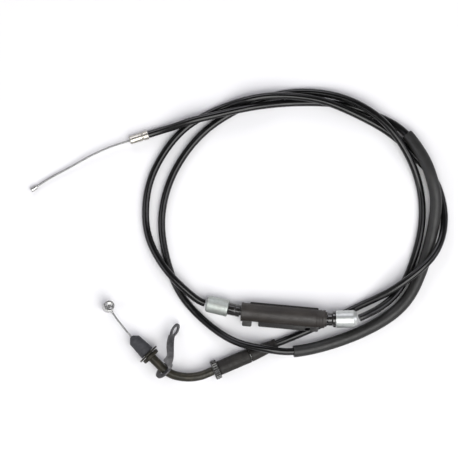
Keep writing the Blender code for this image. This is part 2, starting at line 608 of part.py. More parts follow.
def make_shuttle(mats, frame):
    """The slider that joins the two inner cables, with a pocket for each end nipple."""
    start, end = SHUTTLE_START, SHUTTLE_START + SHUTTLE_LENGTH
    body = add_to(frame, rod("shuttle", start, end, SHUTTLE_RADIUS, mats["shuttle"], SEGMENTS))
    far = 0.01
    slot = WIRE_RADIUS + GAP
    pocket = SHUTTLE_NIPPLE_RADIUS + GAP
    pocket_length = SHUTTLE_NIPPLE_LENGTH + 2.0 * GAP
    wall = 0.0040
    pockets = {"throttle": start + wall, "carb": end - wall - pocket_length}
    for label, place in pockets.items():
        cut = block(f"shuttle_{label}_pocket_cutter", (place, -pocket, -pocket),
                    (place + pocket_length, pocket, far), mats["shuttle"])
        boolean(body, make_cutter(cut, frame), "DIFFERENCE")
    slots = {"throttle": (start - far, start + wall + 0.001), "carb": (end - wall - 0.001, end + far)}
    for label, (low, high) in slots.items():
        cut = block(f"shuttle_{label}_slot_cutter", (low, -slot, -slot), (high, slot, far),
                    mats["shuttle"])
        boolean(body, make_cutter(cut, frame), "DIFFERENCE")
    for label, place in pockets.items():
        nipple = rod(f"shuttle_nipple_{label}", place + GAP, place + GAP + SHUTTLE_NIPPLE_LENGTH,
                     SHUTTLE_NIPPLE_RADIUS, mats["zinc"], 16)
        add_to(frame, nipple)
    throttle_end = pockets["throttle"]
    carb_start = pockets["carb"] + pocket_length
    length = (Vector(BOX_END) - Vector(BOX_START)).length
    add_to(frame, rod("shuttle_wire_throttle", 0.0030, throttle_end, WIRE_RADIUS, mats["wire"]))
    add_to(frame, rod("shuttle_wire_carb", carb_start, length + 0.0126, WIRE_RADIUS, mats["wire"]))


def make_end_fittings(mats, pitch):
    """The neck and ferrule at each end of the box, +X pointing out of it."""
    left = frame_empty("throttle_ferrule_axis", BOX_START, THROTTLE_FERRULE_HEADING, -pitch)
    add_to(left, turned("box_neck_throttle", [
        (-0.0017, FERRULE_BORE), (-0.0017, NECK_SPIGOT_RADIUS), (0.0010, NECK_SPIGOT_RADIUS),
        (0.0010, 0.0043), (0.0092, 0.0043), (0.0092, FERRULE_BORE)], mats["box"]))
    add_to(left, turned("box_ferrule_throttle", [
        (0.0095, FERRULE_BORE), (0.0095, 0.0057), (0.0100, 0.0060), (0.0116, 0.0060),
        (0.0118, 0.0059), (0.0240, 0.0058), (0.0252, 0.0047), (0.0252, FERRULE_BORE),
    ], mats["zinc"]))
    right = frame_empty("carb_ferrule_axis", BOX_END, CARB_FERRULE_HEADING, pitch)
    add_to(right, turned("box_neck_carb", [
        (-0.0017, FERRULE_BORE), (-0.0017, NECK_SPIGOT_RADIUS), (0.0009, NECK_SPIGOT_RADIUS),
        (0.0009, 0.0045), (0.0036, 0.0045), (0.0044, 0.0057), (0.0062, 0.0057),
        (0.0062, FERRULE_BORE)], mats["box"]))
    add_to(right, turned("box_ferrule_carb", [
        (0.0065, FERRULE_BORE), (0.0065, 0.0060), (0.0187, 0.0060), (0.0210, 0.0046),
        (0.0210, FERRULE_BORE)], mats["zinc"]))


def make_junction_box(mats):
    along = Vector(BOX_END) - Vector(BOX_START)
    heading = math.degrees(math.atan2(along.y, along.x))
    pitch = math.degrees(math.asin(along.z / along.length))
    frame = frame_empty("box_axis", BOX_START, heading, pitch)
    make_box_half("box_base", -1, frame, along.length, mats)
    make_box_half("box_cover", 1, frame, along.length, mats)
    make_shuttle(mats, frame)
    make_end_fittings(mats, pitch)


# ---------------------------------------------------------------- assembly
def main():
    for obj in list(bpy.data.objects):
        bpy.data.objects.remove(obj, do_unlink=True)
    mats = make_materials()
    make_carburettor_end(mats)
    make_casings(mats)
    throttle_frame = make_throttle_end(mats)
    make_bracket(mats, throttle_frame)
    make_adjuster(mats)
    make_junction_box(mats)
    bpy.context.view_layer.update()


main()
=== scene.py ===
"""Looks of a scooter throttle cable: fine pieces and materials around its CAD frame."""
import json
import math

import bmesh
import bpy
import numpy as np
from mathutils import Matrix, Vector

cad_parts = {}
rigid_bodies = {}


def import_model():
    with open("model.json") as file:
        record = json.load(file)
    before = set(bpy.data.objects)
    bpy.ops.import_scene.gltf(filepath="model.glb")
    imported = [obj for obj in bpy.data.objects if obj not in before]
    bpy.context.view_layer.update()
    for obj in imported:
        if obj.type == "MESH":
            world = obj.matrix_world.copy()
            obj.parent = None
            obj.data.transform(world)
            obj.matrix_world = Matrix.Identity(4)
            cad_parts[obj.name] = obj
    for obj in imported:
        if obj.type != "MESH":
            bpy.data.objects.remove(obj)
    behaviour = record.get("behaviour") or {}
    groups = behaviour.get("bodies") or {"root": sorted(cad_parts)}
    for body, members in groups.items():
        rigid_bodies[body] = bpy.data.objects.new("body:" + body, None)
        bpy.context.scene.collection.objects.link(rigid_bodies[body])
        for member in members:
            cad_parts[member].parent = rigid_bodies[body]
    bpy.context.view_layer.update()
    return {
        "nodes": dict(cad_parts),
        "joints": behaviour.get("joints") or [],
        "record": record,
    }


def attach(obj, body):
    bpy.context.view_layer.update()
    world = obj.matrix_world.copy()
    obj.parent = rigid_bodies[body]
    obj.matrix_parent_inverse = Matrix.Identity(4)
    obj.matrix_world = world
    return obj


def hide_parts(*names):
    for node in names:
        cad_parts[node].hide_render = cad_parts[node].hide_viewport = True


for leftover in list(bpy.data.objects):
    bpy.data.objects.remove(leftover, do_unlink=True)

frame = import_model()

JOINTS = {joint["name"]: joint for joint in frame["joints"]}
MOUNTS = {mount["name"]: mount for mount in frame["record"]["mounts"]}
TUBE_AXIS = -Vector(JOINTS["throttle_pull"]["axis"])
CARB_AXIS = Vector(JOINTS["carb_pull"]["axis"])
BOX_AXIS = -Vector(JOINTS["shuttle_slide"]["axis"])
ADJUSTER_AXIS = Vector(JOINTS["adjuster_advance"]["axis"])
THROTTLE_FERRULE_HEADING = math.radians(167.0)
CARB_FERRULE_HEADING = math.radians(1.2)

MM = 0.001
GAP = 0.0003                  # clearance between pieces that meet
CASING_RADIUS = 0.00255
WIRE_RADIUS = 0.0007
SLEEVE_RADIUS = 0.0042
SLEEVE_BORE = 0.0031
TUBE_RADIUS = 0.0031
TUBE_BORE = 0.0025
RIB_PITCH = 1.1               # of the casing's wound wire, in UV: 0.55 mm of the casing

# Routes of the cords and the tube, the same points as in the CAD model.
CARB_WIRE_ROUTE = [
    (-0.06984, 0.08094, 0.0034), (-0.0763, 0.0789, 0.0034), (-0.0830, 0.0767, 0.0034),
    (-0.0912, 0.0733, 0.0033), (-0.0980, 0.0701, 0.0030), (-0.1050, 0.0663, 0.0026),
    (-0.1120, 0.0623, 0.0023), (-0.1190, 0.0586, 0.0020), (-0.1260, 0.0548, 0.0018),
    (-0.1316, 0.0514, 0.0017), (-0.1357, 0.0486, 0.0017),
]
CARB_CASING_ROUTE = [
    (-0.0575, 0.0849, 0.0034), (-0.0490, 0.0875, 0.0038), (-0.0385, 0.0906, 0.0059),
    (-0.0280, 0.0940, 0.0080), (-0.0168, 0.0968, 0.0081), (-0.0042, 0.0997, 0.0081),
    (0.0140, 0.1036, 0.0081), (0.0350, 0.1066, 0.0036), (0.0518, 0.1074, 0.0026),
    (0.0805, 0.1055, 0.0026), (0.1022, 0.0983, 0.0030), (0.1140, 0.0924, 0.0046),
    (0.1232, 0.0851, 0.0062), (0.1306, 0.0753, 0.0081), (0.1370, 0.0638, 0.0101),
    (0.1413, 0.0510, 0.0104), (0.1437, 0.0366, 0.0083), (0.1400, 0.0107, 0.0046),
    (0.1337, -0.0103, 0.0045), (0.1218, -0.0327, 0.0045), (0.0980, -0.0502, 0.0060),
    (0.0707, -0.0611, 0.0084), (0.0434, -0.0669, 0.0110), (0.0252, -0.0653, 0.0129),
    (0.0070, -0.0613, 0.0098), (-0.0084, -0.0534, 0.0050), (-0.0259, -0.0383, 0.0026),
    (-0.0385, -0.0201, 0.0026), (-0.0466, 0.0065, 0.0026), (-0.0479, 0.0296, 0.0026),
    (-0.0399, 0.0576, 0.0026), (-0.0196, 0.0856, 0.0026), (0.0035, 0.1015, 0.0026),
    (0.0266, 0.1113, 0.0026), (0.0511, 0.1148, 0.0028), (0.0742, 0.1118, 0.0056),
    (0.0924, 0.1043, 0.0082), (0.1092, 0.0913, 0.0098), (0.1239, 0.0709, 0.0070),
    (0.1326, 0.0485, 0.0028), (0.1341, 0.0226, 0.0026), (0.1271, -0.0061, 0.0026),
    (0.1162, -0.0264, 0.0046), (0.1022, -0.0376, 0.0102), (0.0955, -0.0410, 0.0125),
    (0.0920, -0.0426, 0.0132), (0.0896, -0.0436, 0.0135),
]
THROTTLE_CASING_ROUTE = [
    (-0.0178, -0.0332, 0.0060), (-0.0217, -0.0317, 0.0063), (-0.0284, -0.0267, 0.0072),
    (-0.0385, -0.0173, 0.0083), (-0.0486, -0.0047, 0.0072), (-0.0574, 0.0135, 0.0034),
    (-0.0594, 0.0331, 0.0026), (-0.0563, 0.0520, 0.0026), (-0.0472, 0.0710, 0.0026),
    (-0.0322, 0.0889, 0.0026), (-0.0150, 0.0997, 0.0026), (-0.0014, 0.1053, 0.0042),
    (0.0119, 0.1091, 0.0079), (0.0280, 0.1116, 0.0082), (0.0490, 0.1109, 0.0082),
    (0.0665, 0.1075, 0.0082), (0.0805, 0.1022, 0.0073), (0.0924, 0.0968, 0.0052),
    (0.1050, 0.0902, 0.0029), (0.1162, 0.0824, 0.0026), (0.1260, 0.0732, 0.0026),
    (0.1400, 0.0576, 0.0026), (0.1463, 0.0464, 0.0026), (0.1498, 0.0296, 0.0034),
    (0.1480, 0.0135, 0.0068), (0.1421, 0.0009, 0.0109), (0.1337, -0.0085, 0.0121),
    (0.1232, -0.0170, 0.0111), (0.1106, -0.0254, 0.0079), (0.0966, -0.0324, 0.0042),
    (0.0805, -0.0401, 0.0026), (0.0616, -0.0492, 0.0026), (0.0434, -0.0571, 0.0035),
    (0.0326, -0.0615, 0.0044), (0.0183, -0.0676, 0.0053), (0.0090, -0.0715, 0.00583),
]
SLEEVE_START = (0.1234, 0.0848, 0.0063)
SLEEVE_END = (0.0440, -0.0669, 0.0109)
TUBE_ROUTE = [
    (-0.06527, -0.06068, 0.00785), (-0.0610, -0.06495, 0.00785), (-0.0567, -0.06925, 0.00785),
    (-0.0525, -0.07345, 0.00785), (-0.0482, -0.07775, 0.00785), (-0.0463, -0.0795, 0.00785),
    (-0.0427, -0.0819, 0.0078), (-0.0376, -0.0839, 0.0078), (-0.0300, -0.0849, 0.0077),
    (-0.0240, -0.0845, 0.0076), (-0.0187, -0.0832, 0.0075), (-0.0150, -0.08165, 0.0073),
    (-0.01217, -0.08046, 0.00712),
]
# The throttle wire runs along the tube's axis: distance in from the boot's tip, and sideways.
THROTTLE_WIRE_ROUTE = [
    (0.0300, 0.0, 0.0), (0.0200, 0.0, 0.0), (0.0100, 0.0, 0.0), (0.0030, 0.0, 0.0),
    (0.0, 0.0, 0.0), (-0.0060, 0.0005, 0.0), (-0.0120, 0.0011, 0.0), (-0.0170, 0.0018, 0.0),
    (-0.0213, 0.0026, 0.0),
]
# Arm of the bracket: its left and right edges, from the ring plate to the eye.
ARM_EDGES = [
    ((-0.0434, -0.0806, 0.0131), (-0.0409, -0.0781, 0.0128)),
    ((-0.0438, -0.0770, 0.0131), (-0.0408, -0.0757, 0.0129)),
    ((-0.0455, -0.0747, 0.0131), (-0.0401, -0.0738, 0.0129)),
    ((-0.0466, -0.0727, 0.0131), (-0.0396, -0.0718, 0.0129)),
    ((-0.0446, -0.0703, 0.0130), (-0.0394, -0.0698, 0.0127)),
    ((-0.0443, -0.0660, 0.0126), (-0.0394, -0.0658, 0.0116)),
    ((-0.0443, -0.0615, 0.0117), (-0.0395, -0.0613, 0.0090)),
    ((-0.0438, -0.0583, 0.0101), (-0.0394, -0.0584, 0.0055)),
    ((-0.0426, -0.0552, 0.0085), (-0.0392, -0.0562, 0.0027)),
]
ARM_THICKNESS = 0.0011
EYE_CENTRE = (-0.0389, -0.0524, 0.0055)
EYE_DIRECTION = (0.46, 0.89, 0.0)
EYE_TILT = 67.0               # degrees from level
EYE_RADIUS = 0.0053
EYE_HOLE_RADIUS = 0.0032
PLATE_THICKNESS = 0.0012
PLATE_RADIUS = 0.0072
PLATE_BORE = 0.0036
PLATE_TILT = 26.0             # the ring leans towards the bend by this many degrees

# Junction box, in its own frame: x from its throttle end, y across it.
BOX_RADIUS = 0.0063
BOX_CAVITY_RADIUS = 0.0050
BOX_WALL = 0.0020
BOX_END_BORE = 0.0036
BOX_LIP_THICKNESS = 0.0010    # of each half's share of the flat lips
BOX_LIPS = [
    ((0.0056, 0.0050), (0.0535, 0.0073)),
    ((0.0124, -0.0094), (0.0545, -0.0050)),
    ((0.0012, -0.0100), (0.0078, -0.0050)),
]
BOX_LIP_HOLE = ((0.0452, -0.0091), (0.0486, -0.0072))
FERRULE_BORE = 0.0024
NECK_SPIGOT_RADIUS = 0.0030


# ---------------------------------------------------------------- camera
def make_camera():
    """A long lens above the loop, tipped a little towards the front."""
    distance, elevation = 1.6, math.radians(88.5)
    width = 0.3206
    aim = Vector((-0.0010, 0.0186, 0.005))
    data = bpy.data.cameras.new("camera")
    data.sensor_width = 36.0
    data.lens = data.sensor_width * distance / width
    data.clip_start, data.clip_end = 0.05, 20.0
    camera = bpy.data.objects.new("camera", data)
    back = Vector((0.0, -math.cos(elevation), math.sin(elevation)))
    camera.location = aim + back * distance
    camera.rotation_mode = "QUATERNION"
    camera.rotation_quaternion = (-back).to_track_quat("-Z", "Y")
    bpy.context.scene.collection.objects.link(camera)
    bpy.context.scene.camera = camera


# ---------------------------------------------------------------- routes and sweeps
def smooth_route(points, spacing):
    """Evenly spaced points on a natural cubic spline through the route's own points."""
    route = np.array(points, float)
    steps = np.linalg.norm(np.diff(route, axis=0), axis=1) ** 0.5
    count = len(route)
    system = np.eye(count)
    right = np.zeros((count, 3))
    for i in range(1, count - 1):
        before, after = steps[i - 1], steps[i]
        system[i, i - 1:i + 2] = (before, 2.0 * (before + after), after)
        slope_after = (route[i + 1] - route[i]) / after
        slope_before = (route[i] - route[i - 1]) / before
        right[i] = 6.0 * (slope_after - slope_before)
    bend = np.linalg.solve(system, right)
    fine = []
    for i, step in enumerate(steps):
        u = np.linspace(0.0, step, 60, endpoint=False)[:, None]
        slope = (route[i + 1] - route[i]) / step - step * (2.0 * bend[i] + bend[i + 1]) / 6.0
        cubic = (bend[i + 1] - bend[i]) / (6.0 * step)
        fine.append(route[i] + slope * u + bend[i] / 2.0 * u ** 2 + cubic * u ** 3)
    fine = np.vstack(fine + [route[-1:]])
    along = distances(fine)
    places = np.linspace(0.0, along[-1], max(2, round(along[-1] / spacing) + 1))
    return np.stack([np.interp(places, along, fine[:, k]) for k in range(3)], axis=1)


def distances(points):
    """How far along the line each point is."""
    return np.r_[0.0, np.cumsum(np.linalg.norm(np.diff(points, axis=0), axis=1))]


def casing_points(route, spacing):
    points = smooth_route(route, spacing)
    points[:, 2] = np.maximum(points[:, 2], CASING_RADIUS)
    return points


def frames_along(points):
    """A side and an up direction at each point, turned about the line as little as possible."""
    tangents = np.gradient(points, axis=0)
    tangents /= np.linalg.norm(tangents, axis=1)[:, None]
    side = np.cross((0.0, 0.0, 1.0), tangents[0])
    sides = []
    for tangent in tangents:
        side = side - tangent * (side @ tangent)
        side /= np.linalg.norm(side)
        sides.append(side)
    sides = np.array(sides)
    return sides, np.cross(tangents, sides)


def circle_rings(points, radius, sides, phase=0.0):
    """Circles square to the line, one at each point. The radius is one value or one each."""
    across, up = frames_along(points)
    angles = phase + np.arange(sides) * math.tau / sides
    radius = np.broadcast_to(radius, len(points))[:, None, None]
    ring = (across[:, None] * np.cos(angles)[None, :, None]
            + up[:, None] * np.sin(angles)[None, :, None])
    return points[:, None] + radius * ring


# ---------------------------------------------------------------- meshes
def skin(name, groups, surface, sharp_degrees=35.0):
    """One mesh from groups of rings. A looped group closes on itself; others get end caps.
    The UV map holds the turn round a ring, and in millimetres how far the rings' middles have
    come plus how far their first points have, so that it also grows across a flat face."""
    verts, faces, uvs = [], [], []
    for rings, looped in groups:
        count, sides = rings.shape[:2]
        base = sum(len(v) for v in verts)
        verts.append(rings.reshape(-1, 3))
        along = distances(rings.mean(axis=1)) + distances(rings[:, 0])
        last = count if looped else count - 1
        for i in range(last):
            n = (i + 1) % count
            v0, v1 = along[i] / MM, along[n if n else i] / MM
            for k in range(sides):
                j = (k + 1) % sides
                faces.append((base + i * sides + k, base + i * sides + j,
                              base + n * sides + j, base + n * sides + k))
                u0, u1 = k / sides, (k + 1) / sides
                uvs += [(u0, v0), (u1, v0), (u1, v1), (u0, v1)]
        if not looped:
            for i, order in ((0, -1), (count - 1, 1)):
                faces.append(tuple(base + i * sides + k for k in range(sides))[::order])
                uvs += [(0.0, 0.0)] * sides
    mesh = bpy.data.meshes.new(name)
    mesh.from_pydata(np.vstack(verts).tolist(), [], faces)
    layer = mesh.uv_layers.new(name="around_and_along")
    layer.data.foreach_set("uv", np.array(uvs, float).ravel())
    mesh.shade_smooth()
    mesh.set_sharp_from_angle(angle=math.radians(sharp_degrees))
    return new_object(name, mesh, surface)


def new_object(name, mesh, surface):
    obj = bpy.data.objects.new(name, mesh)
    obj.data.materials.append(surface)
    bpy.context.scene.collection.objects.link(obj)
    return obj


def rounded(outline, radius, closed, steps=4):
    """The outline with a short curve at each corner, and a supporting point on each side of it."""
    points = [Vector(p) for p in outline]
    result = []
    for i, point in enumerate(points):
        if not closed and i in (0, len(points) - 1):
            result.append(point)
            continue
        back = points[i - 1] - point
        ahead = points[(i + 1) % len(points)] - point
        cut = min(radius, back.length * 0.4, ahead.length * 0.4)
        start, end = point + back.normalized() * cut, point + ahead.normalized() * cut
        result.append(point + back.normalized() * cut * 1.2)
        for k in range(steps + 1):
            t = k / steps
            result.append(start * (1 - t) ** 2 + point * 2 * t * (1 - t) + end * t ** 2)
        result.append(point + ahead.normalized() * cut * 1.2)
    return [tuple(p) for p in result]


def turned(name, place, profile, surface, segments=72, rounding=0.00015, relief=None):
    """Turns a profile of (x, radius) points about the X axis of the frame called place."""
    closed = profile[0][1] > 0.0
    outline = rounded(profile, rounding, closed) if rounding else profile
    outline = [p for p in outline if p[1] > 0.0]
    angles = np.arange(segments) * math.tau / segments
    rings = []
    for x, radius in outline:
        size = np.full(segments, radius)
        if relief:
            size = size + relief(x, angles, radius)
        rings.append(np.stack([np.full(segments, x), size * np.cos(angles),
                               size * np.sin(angles)], axis=1))
    obj = skin(name, [(np.array(rings), closed)], surface)
    obj.matrix_world = place
    return obj


def tube_profile(start, end, bore, radius):
    return [(start, bore), (start, radius), (end, radius), (end, bore)]


def rod_profile(start, end, radius):
    return tube_profile(start, end, 0.0, radius)


# ---------------------------------------------------------------- places taken from the frame
def axes_at(axis, origin):
    """A frame at origin whose X is the axis and whose Y is level."""
    along = Vector(axis).normalized()
    side = Vector((0.0, 0.0, 1.0)).cross(along).normalized()
    matrix = Matrix((along, side, along.cross(side))).transposed().to_4x4()
    matrix.translation = origin
    return matrix


def seat(node, axis, centre=None):
    """The frame of a turned CAD node, with its origin where its axis enters it, and its length.
    centre names another node on the same axis, for a node that isn't the same all round."""
    turn = axes_at(axis, (0.0, 0.0, 0.0)).to_3x3()

    def extent(name):
        local = np.array([v.co for v in frame["nodes"][name].data.vertices]) @ np.array(turn)
        return local.min(0), local.max(0)

    low, high = extent(node)
    mid_low, mid_high = extent(centre or node)
    middle = (mid_low + mid_high) / 2.0
    return axes_at(axis, turn @ Vector((low[0], middle[1], middle[2]))), high[0] - low[0]


def level_axis(heading, pitch):
    return Vector((math.cos(heading) * math.cos(pitch), math.sin(heading) * math.cos(pitch),
                   math.sin(pitch)))


def dress(piece, body, slot, *nodes):
    """The piece rides on the body and stands for the CAD nodes, which it hides. The slot is not
    used.
    """
    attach(piece, body)
    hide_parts(*nodes)


# ---------------------------------------------------------------- materials
class Surface:
    """One procedural material, built round a Principled shader."""

    def __init__(self, name, colour, roughness, metallic=0.0, **settings):
        self.material = bpy.data.materials.new(name)
        self.material.use_nodes = True
        self.tree = self.material.node_tree
        self.shader = self.tree.nodes["Principled BSDF"]
        self.set("Base Color", (*colour, 1.0))
        self.set("Roughness", roughness)
        self.set("Metallic", metallic)
        for key, value in settings.items():
            self.set(key.replace("_", " ").title().replace("Ior", "IOR"), value)
        self.relief = None

    def set(self, name, value):
        self.shader.inputs[name].default_value = value

    def node(self, kind, settings=(), **inputs):
        made = self.tree.nodes.new(kind)
        for key, value in dict(settings).items():
            setattr(made, key, value)
        for key, value in inputs.items():
            self.feed(made.inputs[key.replace("_", " ")], value)
        return made

    def feed(self, socket, value):
        if isinstance(value, bpy.types.NodeSocket):
            self.tree.links.new(value, socket)
        else:
            socket.default_value = value

    def noise(self, scale, stretch=(1.0, 1.0, 1.0), detail=4.0):
        """Noise whose grain has that many cells to the metre."""
        places = self.node("ShaderNodeTexCoord").outputs["Object"]
        mapped = self.node("ShaderNodeMapping", Vector=places, Scale=stretch).outputs[0]
        return self.node("ShaderNodeTexNoise", Vector=mapped, Scale=scale,
                         Detail=detail).outputs["Fac"]

    def cells(self, scale):
        places = self.node("ShaderNodeTexCoord").outputs["Object"]
        return self.node("ShaderNodeTexVoronoi", Vector=places, Scale=scale).outputs["Distance"]

    def ribs(self, pitch):
        """Rings round a swept piece, one each time the UV map's second value grows by pitch."""
        places = self.node("ShaderNodeTexCoord").outputs["UV"]
        along = self.node("ShaderNodeSeparateXYZ", Vector=places).outputs["Y"]
        phase = self.node("ShaderNodeMath", {"operation": "MULTIPLY"})
        self.feed(phase.inputs[0], along)
        phase.inputs[1].default_value = math.tau / pitch
        wave = self.node("ShaderNodeMath", {"operation": "SINE"})
        self.feed(wave.inputs[0], phase.outputs[0])
        return wave.outputs[0]

    def from_middle(self):
        """How far the surface is from the piece's lengthwise middle plane, in metres."""
        places = self.node("ShaderNodeTexCoord").outputs["Object"]
        across = self.node("ShaderNodeSeparateXYZ", Vector=places).outputs["Y"]
        size = self.node("ShaderNodeMath", {"operation": "ABSOLUTE"})
        self.feed(size.inputs[0], across)
        return size.outputs[0]

    def spread(self, value, low, high, to_low, to_high):
        """Maps low..high of the value onto to_low..to_high."""
        made = self.node("ShaderNodeMapRange")
        for socket, number in zip(list(made.inputs)[:5], (value, low, high, to_low, to_high)):
            self.feed(socket, number)
        return made.outputs[0]

    def tint(self, factor, colour, low=0.45, high=0.65, amount=1.0):
        """Mixes the colour in where the factor is high."""
        mix = self.node("ShaderNodeMix", {"data_type": "RGBA"})
        self.feed(mix.inputs["Factor"], self.spread(factor, low, high, 0.0, amount))
        first, second = [socket for socket in mix.inputs if socket.type == "RGBA"]
        mixed = [socket for socket in mix.outputs if socket.type == "RGBA"][0]
        base = self.shader.inputs["Base Color"]
        if base.is_linked:
            self.feed(first, base.links[0].from_socket)
        else:
            first.default_value = base.default_value
        second.default_value = (*colour, 1.0)
        self.feed(base, mixed)
        return self

    def gloss(self, factor, smooth, rough, low=0.35, high=0.65):
        self.feed(self.shader.inputs["Roughness"], self.spread(factor, low, high, smooth, rough))
        return self

    def bump(self, height, depth_mm):
        """Adds relief: the height's 0 to 1 stands for depth_mm."""
        made = self.node("ShaderNodeBump", Height=height, Strength=1.0, Distance=depth_mm * MM)
        if self.relief is not None:
            self.feed(made.inputs["Normal"], self.relief)
        self.relief = made.outputs["Normal"]
        self.feed(self.shader.inputs["Normal"], self.relief)
        return self


def casing_surface():
    made = Surface("casing_vinyl", (0.0030, 0.0030, 0.0031), 0.14, specular_ior_level=0.32)
    made.tint(made.noise(260.0), (0.0052, 0.0052, 0.0051))
    made.tint(made.noise(2600.0, detail=8.0), (0.016, 0.016, 0.016), 0.62, 0.78, 0.5)
    made.gloss(made.noise(420.0), 0.10, 0.18)
    made.bump(made.ribs(RIB_PITCH), 0.005)
    return made.bump(made.noise(1500.0), 0.006).material


def sleeve_surface():
    made = Surface("sleeve_vinyl", (0.0068, 0.0068, 0.0062), 0.46, specular_ior_level=0.38)
    made.tint(made.noise(140.0), (0.0105, 0.0105, 0.0097))
    made.tint(made.noise(3000.0, detail=8.0), (0.04, 0.04, 0.04), 0.60, 0.80, 0.5)
    made.gloss(made.noise(500.0), 0.42, 0.56)
    return made.bump(made.noise(2200.0, detail=6.0), 0.030).material


def rubber_surface():
    made = Surface("boot_rubber", (0.014, 0.0145, 0.0175), 0.66)
    made.tint(made.noise(220.0), (0.023, 0.024, 0.0275))
    made.tint(made.noise(4200.0, detail=8.0), (0.06, 0.06, 0.064), 0.60, 0.85, 0.6)
    made.gloss(made.noise(700.0), 0.55, 0.75)
    return made.bump(made.noise(3200.0, detail=6.0), 0.035).material


def cover_surface():
    """The adjuster's cover and boot: harder, browner rubber with lengthwise scuffs."""
    made = Surface("cover_rubber", (0.0064, 0.0055, 0.0044), 0.60, specular_ior_level=0.30)
    made.tint(made.noise(300.0), (0.0120, 0.0104, 0.0086))
    scuffs = made.noise(2600.0, (0.08, 1.0, 1.0), 8.0)
    made.tint(scuffs, (0.040, 0.036, 0.031), 0.60, 0.78, 0.55)
    made.gloss(made.noise(600.0), 0.50, 0.72)
    return made.bump(scuffs, 0.030).material


def box_surface():
    """Grained plastic, with painted shade that makes the flat lips outside the round body darker.
    """
    made = Surface("box_plastic", (0.0118, 0.0094, 0.0078), 0.46, specular_ior_level=0.40)
    made.tint(made.noise(160.0, (0.35, 1.0, 1.0)), (0.0215, 0.0178, 0.0150))
    # painted shade: darker colour on the flat lips beyond the round body, standing for the shade
    # they lie in
    made.tint(made.from_middle(), (0.0050, 0.0044, 0.0040), 0.0060, 0.0064)
    grain = made.noise(3600.0, (0.5, 1.0, 1.0), 7.0)
    made.tint(grain, (0.055, 0.051, 0.048), 0.60, 0.82, 0.5)
    made.gloss(made.noise(700.0), 0.42, 0.60)
    made.bump(made.cells(2400.0), 0.012)
    return made.bump(grain, 0.022).material


def neck_surface():
    """Smooth glossy plastic of the box's two necks."""
    made = Surface("neck_plastic", (0.0065, 0.0058, 0.0052), 0.20, specular_ior_level=0.75)
    made.tint(made.noise(600.0), (0.013, 0.0115, 0.0105))
    made.gloss(made.noise(900.0), 0.12, 0.20)
    return made.bump(made.noise(1200.0), 0.003).material


def plating_surface():
    """Olive-black plating of the guide tube and its flange."""
    made = Surface("tube_black_plating", (0.0140, 0.0130, 0.0085), 0.36, 0.25,
                   specular_ior_level=0.32)
    made.tint(made.noise(330.0), (0.026, 0.0225, 0.0145))
    made.tint(made.noise(1900.0, detail=8.0), (0.08, 0.075, 0.055), 0.62, 0.80, 0.5)
    made.gloss(made.noise(900.0), 0.32, 0.48)
    return made.bump(made.noise(1200.0, detail=4.0), 0.008).material


def wheel_surface():
    """Dark moulded wheel, glossy, with painted highlights: lighter flecks at random that stand for
    glints on its knurl.
    """
    made = Surface("wheel_dark_plastic", (0.0075, 0.0072, 0.0060), 0.28, specular_ior_level=0.65)
    # painted highlights: lighter flecks standing for glints on the knurl, not wear
    made.tint(made.noise(1600.0, detail=8.0), (0.055, 0.053, 0.044), 0.54, 0.70, 0.8)
    made.gloss(made.noise(1500.0), 0.20, 0.38)
    return made.bump(made.noise(1900.0, detail=6.0), 0.030).material


def bracket_surface():
    made = Surface("bracket_dark_zinc", (0.050, 0.0495, 0.0510), 0.46, 0.55)
    made.tint(made.noise(420.0), (0.085, 0.083, 0.086))
    made.tint(made.noise(2400.0, detail=8.0), (0.16, 0.16, 0.16), 0.60, 0.80, 0.5)
    made.gloss(made.noise(900.0), 0.36, 0.56)
    return made.bump(made.noise(2600.0, detail=6.0), 0.014).material


def wire_surface():
    made = Surface("wire_steel", (0.29, 0.29, 0.285), 0.50, 1.0)
    made.tint(made.noise(500.0), (0.38, 0.38, 0.37))
    return made.gloss(made.noise(1500.0), 0.42, 0.58).material


def nipple_surface():
    made = Surface("nipple_zinc", (0.36, 0.36, 0.35), 0.30, 1.0)
    made.tint(made.noise(900.0, detail=6.0), (0.52, 0.52, 0.51))
    made.gloss(made.noise(1500.0), 0.20, 0.40)
    return made.bump(made.noise(1400.0), 0.003).material


def nickel_surface():
    made = Surface("ferrule_nickel", (0.42, 0.405, 0.365), 0.34, 1.0)
    made.tint(made.noise(420.0), (0.32, 0.30, 0.26), 0.50, 0.70, 0.7)
    made.gloss(made.noise(900.0), 0.28, 0.40)
    return made.bump(made.noise(1200.0, (1.0, 0.1, 0.1)), 0.002).material


def zinc_surface():
    """Bright zinc with the lathe's fine rings and a faint green tint."""
    made = Surface("ferrule_zinc", (0.50, 0.515, 0.50), 0.42, 1.0)
    made.tint(made.noise(380.0), (0.44, 0.46, 0.45))
    made.tint(made.noise(2200.0, detail=6.0), (0.40, 0.43, 0.41), 0.60, 0.80, 0.5)
    made.gloss(made.noise(700.0), 0.41, 0.52)
    return made.bump(made.noise(1400.0, (1.0, 0.05, 0.05)), 0.002).material


def satin_zinc_painted_shade_surface():
    """Satin zinc of the ferrule on the throttle's side: a copy of the zinc with painted shade, a
    little greyer and darker because that ferrule catches less light.
    """
    # painted shade: darker colour than the other ferrule's zinc, for a ferrule that catches less
    # light; the higher roughness is its satin finish
    made = Surface("ferrule_satin_zinc_painted_shade", (0.42, 0.45, 0.425), 0.56, 1.0)
    made.tint(made.noise(380.0, (0.3, 1.0, 1.0)), (0.37, 0.385, 0.36))
    made.tint(made.noise(2200.0, (0.2, 1.0, 1.0), 6.0), (0.28, 0.30, 0.28), 0.55, 0.72, 0.7)
    made.gloss(made.noise(700.0), 0.48, 0.62)
    return made.bump(made.noise(1400.0, (1.0, 0.05, 0.05)), 0.002).material


